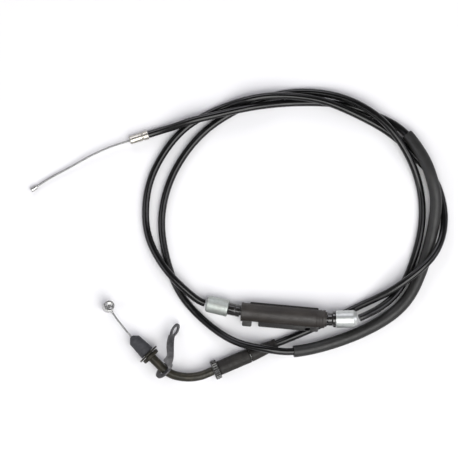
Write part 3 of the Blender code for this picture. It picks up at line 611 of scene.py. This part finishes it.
def shuttle_surface():
    made = Surface("shuttle_plastic", (0.52, 0.51, 0.47), 0.42)
    made.tint(made.noise(600.0), (0.60, 0.59, 0.55))
    return made.bump(made.noise(2600.0), 0.010).material


def liner_surface():
    made = Surface("liner_plastic", (0.72, 0.72, 0.69), 0.35)
    made.tint(made.noise(600.0), (0.62, 0.62, 0.58))
    return made.bump(made.noise(2600.0), 0.006).material


SURFACES = {
    "casing": casing_surface(),
    "sleeve": sleeve_surface(),
    "rubber": rubber_surface(),
    "cover": cover_surface(),
    "box": box_surface(),
    "neck": neck_surface(),
    "tube": plating_surface(),
    "wheel": wheel_surface(),
    "bracket": bracket_surface(),
    "wire": wire_surface(),
    "nipple": nipple_surface(),
    "nickel": nickel_surface(),
    "zinc": zinc_surface(),
    "satin_zinc_painted_shade": satin_zinc_painted_shade_surface(),
    "shuttle": shuttle_surface(),
    "liner": liner_surface(),
}


# ---------------------------------------------------------------- casings and sleeve
def make_sleeve(points):
    """The loose outer sleeve, a thick-walled tube that wavers a little, cut square at both ends."""
    def nearest(place):
        return int(np.argmin(np.linalg.norm(points - np.array(place), axis=1)))

    line = points[nearest(SLEEVE_START):nearest(SLEEVE_END) + 1]
    along = distances(line)
    waver = 0.00006 * np.sin(along / 0.019) + 0.00004 * np.sin(along / 0.0071 + 1.0)
    edge = 0.0001
    inset = np.zeros(len(line))
    inset[[0, -1]] = edge
    outer = circle_rings(line, SLEEVE_RADIUS + waver - inset, 32)
    inner = circle_rings(line, np.full(len(line), SLEEVE_BORE) + inset, 32)
    return skin("abrasion_sleeve_tube", [(np.vstack([outer, inner[::-1]]), True)],
                SURFACES["sleeve"], 50.0)


def make_casings():
    spacing = 0.0015
    carb = casing_points(CARB_CASING_ROUTE, spacing)
    carb_sheath = skin("carb_casing_sheath", [(circle_rings(carb, CASING_RADIUS, 24), False)],
                       SURFACES["casing"])
    sleeve = make_sleeve(carb)
    dress(sleeve, "cable", "sleeve", "abrasion_sleeve")
    dress(carb_sheath, "cable", "casing", "carb_casing")

    throttle = casing_points(THROTTLE_CASING_ROUTE, spacing)
    throttle_sheath = skin("throttle_casing_sheath",
                           [(circle_rings(throttle, CASING_RADIUS, 24), False)],
                           SURFACES["casing"])
    dress(throttle_sheath, "cable", "casing", "throttle_casing")


# ---------------------------------------------------------------- stranded wires
def stranded_wire(name, points, surface):
    """Twelve outer wires laid round a core, as in a 1x19 strand."""
    outer_count = 12
    sine = math.sin(math.pi / outer_count)
    strand = WIRE_RADIUS * sine / (1.0 + sine)
    offset = WIRE_RADIUS - strand
    lay_length = 0.010
    across, up = frames_along(points)
    turn = distances(points) * math.tau / lay_length
    groups = [(circle_rings(points, offset - 0.7 * strand, 10), False)]
    for k in range(outer_count):
        angle = (turn + k * math.tau / outer_count)[:, None]
        line = points + offset * (across * np.cos(angle) + up * np.sin(angle))
        groups.append((circle_rings(line, strand, 6), False))
    return skin(name, groups, surface, 80.0)


def make_carb_wire():
    points = smooth_route(CARB_WIRE_ROUTE, 0.0006)
    wire = stranded_wire("carb_wire_strand", points, SURFACES["wire"])
    face = MOUNTS["carb_nipple_face"]
    place, length = seat("carb_nipple", face["axis"])
    radius, dimple = 0.0016, 0.0008
    nipple = turned("carb_end_nipple", place, [
        (0.0, 0.0), (0.0, radius), (length, radius), (length, dimple),
        (length - 0.0004, dimple * 0.6), (length - 0.0004, 0.0),
    ], SURFACES["nipple"], 48, 0.0003)
    dress(nipple, "carb_inner", "wire", "carb_nipple")
    dress(wire, "carb_inner", "wire", "carb_wire")


def make_throttle_wire():
    place, _ = seat("end_boot", TUBE_AXIS)
    local = smooth_route(THROTTLE_WIRE_ROUTE, 0.0005)
    points = np.array([place @ Vector(p) for p in local])
    wire = stranded_wire("throttle_wire_strand", points, SURFACES["wire"])

    direction = Vector(points[-1]) - Vector(points[-2])
    spot, length = seat("solder_collar", direction)
    collar = turned("solder_collar_cone", spot, [
        (0.0, 0.0), (0.0, 0.0011), (length * 0.6, 0.0014), (length, 0.0016), (length, 0.0),
    ], SURFACES["nipple"], 48, 0.0001)

    spot, height = seat("barrel_nipple", MOUNTS["barrel_nipple_face"]["axis"])
    radius, lip, dish = 0.0038, 0.0022, 0.0005
    barrel = turned("barrel_end_nipple", spot, [
        (dish, 0.0), (dish, lip * 0.7), (0.0, lip), (0.0, radius), (height, radius),
        (height, lip), (height - dish, lip * 0.7), (height - dish, 0.0),
    ], SURFACES["nipple"], 64, 0.0004)
    dress(barrel, "throttle_inner", "zinc", "barrel_nipple")
    dress(collar, "throttle_inner", "zinc", "solder_collar")
    dress(wire, "throttle_inner", "wire", "throttle_wire")


# ---------------------------------------------------------------- carburettor ferrule
def make_carb_ferrule():
    place, length = seat("carb_ferrule", CARB_AXIS)
    bore, radius, collar, lip = 0.0013, 0.0029, 0.0031, 0.0033
    groove, groove_end, slope, depth = 0.0088, 0.0099, 0.0003, 0.0004
    lip_start = length - 0.0010
    body = turned("carb_ferrule_body", place, [
        (0.0, bore), (0.0, radius - depth), (0.0005, radius), (groove, radius),
        (groove + slope, radius - depth), (groove_end - slope, radius - depth),
        (groove_end, collar), (lip_start - 0.0001, collar), (lip_start, lip), (length, lip),
        (length, bore),
    ], SURFACES["nickel"], 96, 0.00012)
    dress(body, "cable", "nickel", "carb_ferrule")


# ---------------------------------------------------------------- throttle end
def make_throttle_end():
    place, length = seat("end_boot", TUBE_AXIS)
    mouth, tip, front, radius, inside = 0.0011, 0.0014, 0.0045, 0.0053, 0.0050
    cone_end, back = 0.0034, length - 0.0004
    outline = [(0.0, mouth), (0.0, tip), (cone_end - 0.0005, front - 0.0002), (cone_end, front)]
    crease, depth = 0.0002, 0.00012
    for x in (0.0058, 0.0066):
        shoulder = front + (radius - front) * (x - cone_end) / (back - cone_end)
        outline += [(x - crease, shoulder), (x, shoulder - depth), (x + crease, shoulder)]
    outline += [
        (back, radius), (length, radius - 0.0002), (length, TUBE_RADIUS + GAP),
        (inside, TUBE_RADIUS + GAP), (inside, mouth),
    ]
    boot = turned("end_boot_rubber", place, outline, SURFACES["rubber"], 96, 0.00015)
    dress(boot, "cable", "rubber", "end_boot")

    place, thick = seat("flange_washer", TUBE_AXIS)
    rim = 0.00785
    washer = turned("flange_washer_disc", place,
                    tube_profile(0.0, thick, TUBE_RADIUS + GAP, rim), SURFACES["tube"], 96, 0.0003)
    dress(washer, "cable", "tube", "flange_washer")

    place, thick = seat("tube_collar", TUBE_AXIS)
    rim = 0.0064
    collar = turned("tube_collar_ring", place, [
        (0.0, TUBE_RADIUS + GAP), (0.0, rim - 0.0004), (0.0004, rim), (thick - 0.0005, rim),
        (thick, rim - 0.0008), (thick, TUBE_RADIUS + GAP),
    ], SURFACES["tube"], 96, 0.0002)
    dress(collar, "cable", "tube", "tube_collar")

    line = smooth_route(TUBE_ROUTE, 0.0008)
    outer = circle_rings(line, TUBE_RADIUS, 40)
    inner = circle_rings(line, TUBE_BORE, 40)
    tube = skin("elbow_tube_bend", [(np.vstack([outer, inner[::-1]]), True)], SURFACES["tube"])
    dress(tube, "cable", "tube", "elbow_tube")


def spread_evenly(route, count):
    """That many points at even distances along the smooth line through the route."""
    fine = smooth_route(route, 0.0002)
    return fine[np.linspace(0.0, len(fine) - 1, count).round().astype(int)]


def arm_rings():
    """Sections of the flat arm between its two edges, square to its middle line."""
    count = 48
    lefts = spread_evenly([left for left, _ in ARM_EDGES], count)
    rights = spread_evenly([right for _, right in ARM_EDGES], count)
    along = np.gradient((lefts + rights) / 2.0, axis=0)
    half = np.cross(rights - lefts, along)
    half *= ARM_THICKNESS / 2.0 / np.linalg.norm(half, axis=1)[:, None]
    return np.stack([lefts - half, rights - half, rights + half, lefts + half], axis=1)


def make_bracket():
    """Leaning ring plate, flat arm and eye, fused and softened like a stamped plate."""
    joint = JOINTS["bracket_swivel"]
    centre = Vector(joint["pos_m"])
    square = axes_at(joint["axis"], centre)
    leaning = square @ Matrix.Rotation(math.radians(PLATE_TILT), 4, "Y")
    half = PLATE_THICKNESS / 2.0
    ring = turned("bracket_ring", leaning, rod_profile(-half, half, PLATE_RADIUS),
                  SURFACES["bracket"], 96, 0.0)
    arm = skin("bracket_arm", [(arm_rings(), False)], SURFACES["bracket"])

    direction = Vector(EYE_DIRECTION).normalized()
    level = direction.cross(Vector((0.0, 0.0, 1.0)))
    across = Matrix.Rotation(math.radians(EYE_TILT), 3, direction) @ level
    eye_place = axes_at(direction.cross(across), EYE_CENTRE)
    eye_half = ARM_THICKNESS * 0.55
    eye = turned("bracket_eye", eye_place, rod_profile(-eye_half, eye_half, EYE_RADIUS),
                 SURFACES["bracket"], 96, 0.0)

    reach, voxel = 0.008, 0.00014
    for part in (ring, arm, eye):
        for place, radius in ((square, PLATE_BORE), (eye_place, EYE_HOLE_RADIUS)):
            tool = turned("bracket_hole", place, rod_profile(-reach, reach, radius),
                          SURFACES["bracket"], 96, 0.0)
            apply_boolean(part, tool, "DIFFERENCE")
    plate = fuse("bracket_plate", [ring, arm, eye], voxel)
    dress(plate, "bracket", "bracket", "bracket")


def fuse(name, parts, voxel):
    """Joins closed pieces into one skin with softened edges."""
    bpy.ops.object.select_all(action="DESELECT")
    for part in parts:
        part.select_set(True)
    bpy.context.view_layer.objects.active = parts[0]
    bpy.ops.object.join()
    joined = bpy.context.view_layer.objects.active
    joined.name = name
    bpy.ops.object.transform_apply(location=True, rotation=True, scale=True)
    remesh = joined.modifiers.new("fuse", "REMESH")
    remesh.mode, remesh.voxel_size = "VOXEL", voxel
    remesh.use_smooth_shade = True
    smooth = joined.modifiers.new("soften", "SMOOTH")
    smooth.factor, smooth.iterations = 0.5, 4
    for modifier in ("fuse", "soften"):
        bpy.ops.object.modifier_apply(modifier=modifier)
    return joined


# ---------------------------------------------------------------- adjuster
def make_adjuster():
    place, thick = seat("adjuster_wheel", ADJUSTER_AXIS)
    radius, bore, chamfer, teeth, depth = 0.0069, 0.0045, 0.0004, 28, 0.0006

    def knurl(x, angles, size):
        if size < radius - depth:
            return 0.0
        return -depth * np.abs(np.sin(angles * teeth / 2.0))

    wheel = turned("adjuster_knurled_wheel", place, [
        (0.0, bore), (0.0, radius - chamfer), (chamfer, radius), (thick - chamfer, radius),
        (thick, radius - chamfer), (thick, bore),
    ], SURFACES["wheel"], teeth * 8, 0.00015, knurl)
    dress(wheel, "adjuster_screw", "box", "adjuster_wheel")

    place, length = seat("adjuster_barrel", ADJUSTER_AXIS)
    bore, neck, neck_end = 0.0010, 0.0022, 0.0064
    thread_pitch, thread_depth = 0.0010, 0.00025
    outline = [(0.0, bore)]
    for k in range(int(neck_end / thread_pitch)):
        start = k * thread_pitch
        outline += [(start, neck - thread_depth), (start + thread_pitch / 2.0, neck)]
    socket, socket_bore, socket_floor = 0.0042, 0.0036, length - 0.0105
    outline += [
        (neck_end, neck - 0.0002), (neck_end, socket), (length, socket), (length, socket_bore),
        (socket_floor, socket_bore), (socket_floor, bore),
    ]
    barrel = turned("adjuster_barrel_screw", place, outline, SURFACES["zinc"], 64, 0.00008)
    dress(barrel, "adjuster_screw", "zinc", "adjuster_barrel")

    place, length = seat("casing_end_cap", ADJUSTER_AXIS)
    radius, inside, wall = 0.0033, 0.0029, 0.0012
    cap = turned("casing_end_cap_cup", place, [
        (0.0, bore), (0.0, radius), (length, radius), (length, inside), (wall, inside),
        (wall, bore),
    ], SURFACES["zinc"], 64, 0.0001)
    dress(cap, "adjuster_cover", "zinc", "casing_end_cap")

    place, length = seat("adjuster_cover", ADJUSTER_AXIS)
    outer, inner, start = 0.0051, 0.0045, -0.0002
    cover = turned("adjuster_cover_sleeve", place, [
        (start, inner), (start, outer - 0.0003), (0.0003, outer), (length - 0.0008, outer),
        (length - 0.0004, outer - 0.0002), (length, outer - 0.0003), (length, inner),
    ], SURFACES["cover"], 96, 0.00015)
    dress(cover, "adjuster_cover", "rubber", "adjuster_cover")

    place, length = seat("adjuster_boot", ADJUSTER_AXIS)
    neck, lip, shoulder = CASING_RADIUS + 0.0004, 0.0039, 0.0042
    boot = turned("adjuster_boot_cone", place, [
        (0.0, 0.0044), (0.0, outer - 0.0002), (0.0008, outer - 0.0001), (shoulder, 0.0048),
        (0.0100, 0.00435), (length - 0.0030, 0.0036), (length - 0.0023, 0.0035),
        (length - 0.0020, lip), (length, lip), (length, neck), (length - 0.0050, neck),
        (shoulder, 0.0040),
    ], SURFACES["cover"], 96, 0.00025)
    dress(boot, "adjuster_cover", "rubber", "adjuster_boot")


# ---------------------------------------------------------------- junction box
def block(name, low, high, corner=0.0):
    """A flat block between two corners, its upright edges rounded to that radius."""
    outline = [(low[0], low[1]), (high[0], low[1]), (high[0], high[1]), (low[0], high[1])]
    if corner:
        outline = rounded(outline, corner, True)
    bm = bmesh.new()
    layers = [[bm.verts.new((x, y, z)) for x, y in outline] for z in (low[2], high[2])]
    bm.faces.new(layers[0][::-1])
    bm.faces.new(layers[1])
    for k in range(len(outline)):
        n = (k + 1) % len(outline)
        bm.faces.new((layers[0][k], layers[0][n], layers[1][n], layers[1][k]))
    mesh = bpy.data.meshes.new(name)
    bm.to_mesh(mesh)
    bm.free()
    return new_object(name, mesh, SURFACES["box"])


def apply_boolean(body, tool, operation):
    modifier = body.modifiers.new(operation.lower(), "BOOLEAN")
    modifier.object = tool
    modifier.operation = operation
    modifier.solver = "EXACT"
    bpy.context.view_layer.objects.active = body
    bpy.ops.object.modifier_apply(modifier=modifier.name)
    bpy.data.objects.remove(tool, do_unlink=True)


def box_outline(length):
    """Half section of the box's round body: a rim in front, three stepped rings and a spigot."""
    rim, rim_height, ring_width, ring_depth = 0.0012, 0.0003, 0.0006, 0.00025
    support = 0.0100              # an extra section that keeps the shading even near the front
    spigot, spigot_radius = length - 0.0014, BOX_RADIUS - 0.0011
    rings = [length - 0.0075, length - 0.0055, length - 0.0035]
    outline = [(0.0, 0.0), (0.0, BOX_RADIUS + rim_height), (rim, BOX_RADIUS + rim_height),
               (rim, BOX_RADIUS), (support, BOX_RADIUS), (rings[0], BOX_RADIUS)]
    for x in rings:
        outline += [(x, BOX_RADIUS - ring_depth), (x + ring_width, BOX_RADIUS - ring_depth),
                    (x + ring_width, BOX_RADIUS)]
    outline += [(spigot, BOX_RADIUS), (spigot, spigot_radius), (length, spigot_radius),
                (length, 0.0)]
    return outline


def cut_round(body, profile):
    """Takes the turned shape of the profile out of a body that still stands at the origin."""
    tool = turned(f"{body.name}_cutter", Matrix.Identity(4), profile, SURFACES["box"], 96, 0.0)
    apply_boolean(body, tool, "DIFFERENCE")


def soften(body, width):
    """Rounds the body's sharp edges a little."""
    bevel = body.modifiers.new("soft_edges", "BEVEL")
    bevel.width, bevel.segments = width, 2
    bevel.limit_method, bevel.angle_limit = "ANGLE", math.radians(40.0)
    bpy.context.view_layer.objects.active = body
    bpy.ops.object.modifier_apply(modifier=bevel.name)
    body.data.shade_smooth()
    body.data.set_sharp_from_angle(angle=math.radians(30.0))


def make_box_half(name, node, side, place, length):
    """One moulded half of the box: side is +1 for the cover and -1 for the base."""
    body = turned(name, Matrix.Identity(4), box_outline(length), SURFACES["box"], 96, 0.0)
    lip, seam, past, far = BOX_LIP_THICKNESS, GAP / 2.0, 0.005, 0.02
    corner_radius, edge_width = 0.0012, 0.00016
    low, high = (-lip, -seam) if side < 0 else (seam, lip)
    for corner, opposite in BOX_LIPS:
        lip_piece = block(f"{name}_lip", (*corner, low), (*opposite, high), corner_radius)
        apply_boolean(body, lip_piece, "UNION")
    cut_round(body, rod_profile(BOX_WALL, length - BOX_WALL, BOX_CAVITY_RADIUS))
    cut_round(body, rod_profile(-past, length + past, BOX_END_BORE))
    corner, opposite = BOX_LIP_HOLE
    hole = block(f"{name}_hole", (*corner, -past), (*opposite, past))
    apply_boolean(body, hole, "DIFFERENCE")
    low, high = (-seam, far) if side < 0 else (-far, seam)
    other_half = block(f"{name}_half", (-far, -far, low), (length + far, far, high))
    apply_boolean(body, other_half, "DIFFERENCE")
    soften(body, edge_width)
    body.matrix_world = place
    dress(body, "cable", "box", node)


def make_box_ends(pitch):
    """The neck and the ferrule at each end of the box, +X pointing out of it."""
    bore, spigot = FERRULE_BORE, NECK_SPIGOT_RADIUS
    left = level_axis(THROTTLE_FERRULE_HEADING, -pitch)
    spot, reach = seat("box_neck_throttle", left)
    shoulder, radius = 0.0027, 0.0043
    groove, groove_end, slope, groove_radius = 0.0055, 0.0062, 0.0003, 0.0041
    neck = turned("box_neck_throttle_tube", spot, [
        (0.0, bore), (0.0, spigot), (shoulder, spigot), (shoulder, radius),
        (groove - slope, radius), (groove, groove_radius), (groove_end, groove_radius),
        (groove_end + slope, radius), (reach, radius), (reach, bore),
    ], SURFACES["neck"], 72, 0.00015)
    dress(neck, "cable", "box", "box_neck_throttle")
    spot, reach = seat("box_ferrule_throttle", left)
    rim, rim_radius, radius, end_radius = 0.0022, 0.0060, 0.0058, 0.0047
    ferrule = turned("box_ferrule_throttle_cup", spot, [
        (0.0, bore), (0.0, rim_radius - 0.0003), (0.0005, rim_radius),
        (rim - 0.0001, rim_radius), (rim + 0.0001, radius + 0.00005),
        (reach - 0.0012, radius), (reach, end_radius), (reach, bore),
    ], SURFACES["satin_zinc_painted_shade"], 96, 0.0002)
    dress(ferrule, "cable", "zinc", "box_ferrule_throttle")

    right = level_axis(CARB_FERRULE_HEADING, pitch)
    spot, reach = seat("box_neck_carb", right)
    shoulder, radius, flange = 0.0026, 0.0045, 0.0057
    neck = turned("box_neck_carb_tube", spot, [
        (0.0, bore), (0.0, spigot), (shoulder, spigot), (shoulder, radius),
        (reach - 0.0026, radius), (reach - 0.0018, flange), (reach, flange), (reach, bore),
    ], SURFACES["neck"], 72, 0.00015)
    dress(neck, "cable", "box", "box_neck_carb")
    spot, reach = seat("box_ferrule_carb", right)
    radius, end_radius, taper = 0.0060, 0.0046, 0.0023
    ferrule = turned("box_ferrule_carb_cup", spot, [
        (0.0, bore), (0.0, radius), (reach - taper, radius), (reach, end_radius), (reach, bore),
    ], SURFACES["zinc"], 96, 0.0003)
    dress(ferrule, "cable", "zinc", "box_ferrule_carb")


def make_junction_box():
    place, length = seat("box_base", BOX_AXIS, centre="shuttle_nipple_throttle")
    make_box_half("box_base_shell", "box_base", -1, place, length)
    make_box_half("box_cover_shell", "box_cover", 1, place, length)
    make_box_ends(math.asin(BOX_AXIS.z))


# ---------------------------------------------------------------- inner pieces kept from the frame
def dress_inner_nodes():
    finishes = {
        "shuttle": "shuttle", "shuttle_nipple_throttle": "nipple", "shuttle_nipple_carb": "nipple",
        "shuttle_wire_throttle": "wire", "shuttle_wire_carb": "wire", "elbow_liner": "liner",
    }
    for node, finish in finishes.items():
        mesh = frame["nodes"][node].data
        mesh.materials.clear()
        mesh.materials.append(SURFACES[finish])


# ---------------------------------------------------------------- stage and light
def make_floor():
    surface = Surface("floor_paper", (0.650, 0.650, 0.654), 0.9)
    surface.tint(surface.noise(2.0), (0.642, 0.642, 0.648))
    half, drop = 4.0, 0.00005
    mesh = bpy.data.meshes.new("floor")
    corners = [(-half, -half, 0.0), (half, -half, 0.0), (half, half, 0.0), (-half, half, 0.0)]
    mesh.from_pydata(corners, [], [(0, 1, 2, 3)])
    floor = new_object("floor", mesh, surface.material)
    floor.location.z = -drop


def area_light(name, direction, distance, size, watts, colour):
    """A softbox that faces the loop's middle from that direction."""
    target = Vector((0.0, 0.01, 0.0))
    data = bpy.data.lights.new(name, "AREA")
    data.shape = "RECTANGLE"
    data.size, data.size_y = size
    data.energy = watts
    data.color = colour
    light = bpy.data.objects.new(name, data)
    away = Vector(direction).normalized()
    light.location = target + away * distance
    light.rotation_mode = "QUATERNION"
    light.rotation_quaternion = (-away).to_track_quat("-Z", "Y")
    bpy.context.scene.collection.objects.link(light)


def make_lights():
    warm, white, cool = (1.0, 0.998, 0.985), (1.0, 1.0, 1.0), (0.94, 0.93, 1.0)
    area_light("key", (0.32, -0.53, 1.0), 1.3, (0.95, 1.20), 22.0, warm)
    area_light("strip", (-0.30, -0.42, 1.0), 1.3, (0.12, 0.35), 0.8, white)
    area_light("right", (0.95, -0.05, 0.85), 1.2, (0.60, 0.60), 4.2, cool)
    area_light("left", (-0.85, -0.15, 0.75), 1.2, (0.80, 0.80), 5.0, cool)
    area_light("back", (-0.25, 0.90, 0.55), 1.2, (0.80, 0.50), 5.0, cool)
    bpy.context.scene.world = make_tent()
    bpy.context.scene.view_settings.view_transform = "Standard"


def make_tent():
    """A pale tent round the table, open and dim overhead."""
    world = bpy.data.worlds.new("studio")
    world.use_nodes = True
    tree = world.node_tree
    places = tree.nodes.new("ShaderNodeTexCoord")
    split = tree.nodes.new("ShaderNodeSeparateXYZ")
    fade = tree.nodes.new("ShaderNodeMapRange")
    tree.links.new(places.outputs["Generated"], split.inputs[0])
    tree.links.new(split.outputs["Z"], fade.inputs["Value"])
    wall_top, roof, wall_strength, roof_strength = 0.30, 0.75, 0.55, 0.07
    levels = {"From Min": wall_top, "From Max": roof, "To Min": wall_strength,
              "To Max": roof_strength}
    for key, value in levels.items():
        fade.inputs[key].default_value = value
    background = tree.nodes["Background"]
    background.inputs["Color"].default_value = (0.97, 0.96, 1.0, 1.0)
    tree.links.new(fade.outputs[0], background.inputs["Strength"])
    return world


# ---------------------------------------------------------------- assembly
make_camera()
make_casings()
make_carb_wire()
make_throttle_wire()
make_carb_ferrule()
make_throttle_end()
make_bracket()
make_adjuster()
make_junction_box()
dress_inner_nodes()
make_floor()
make_lights()
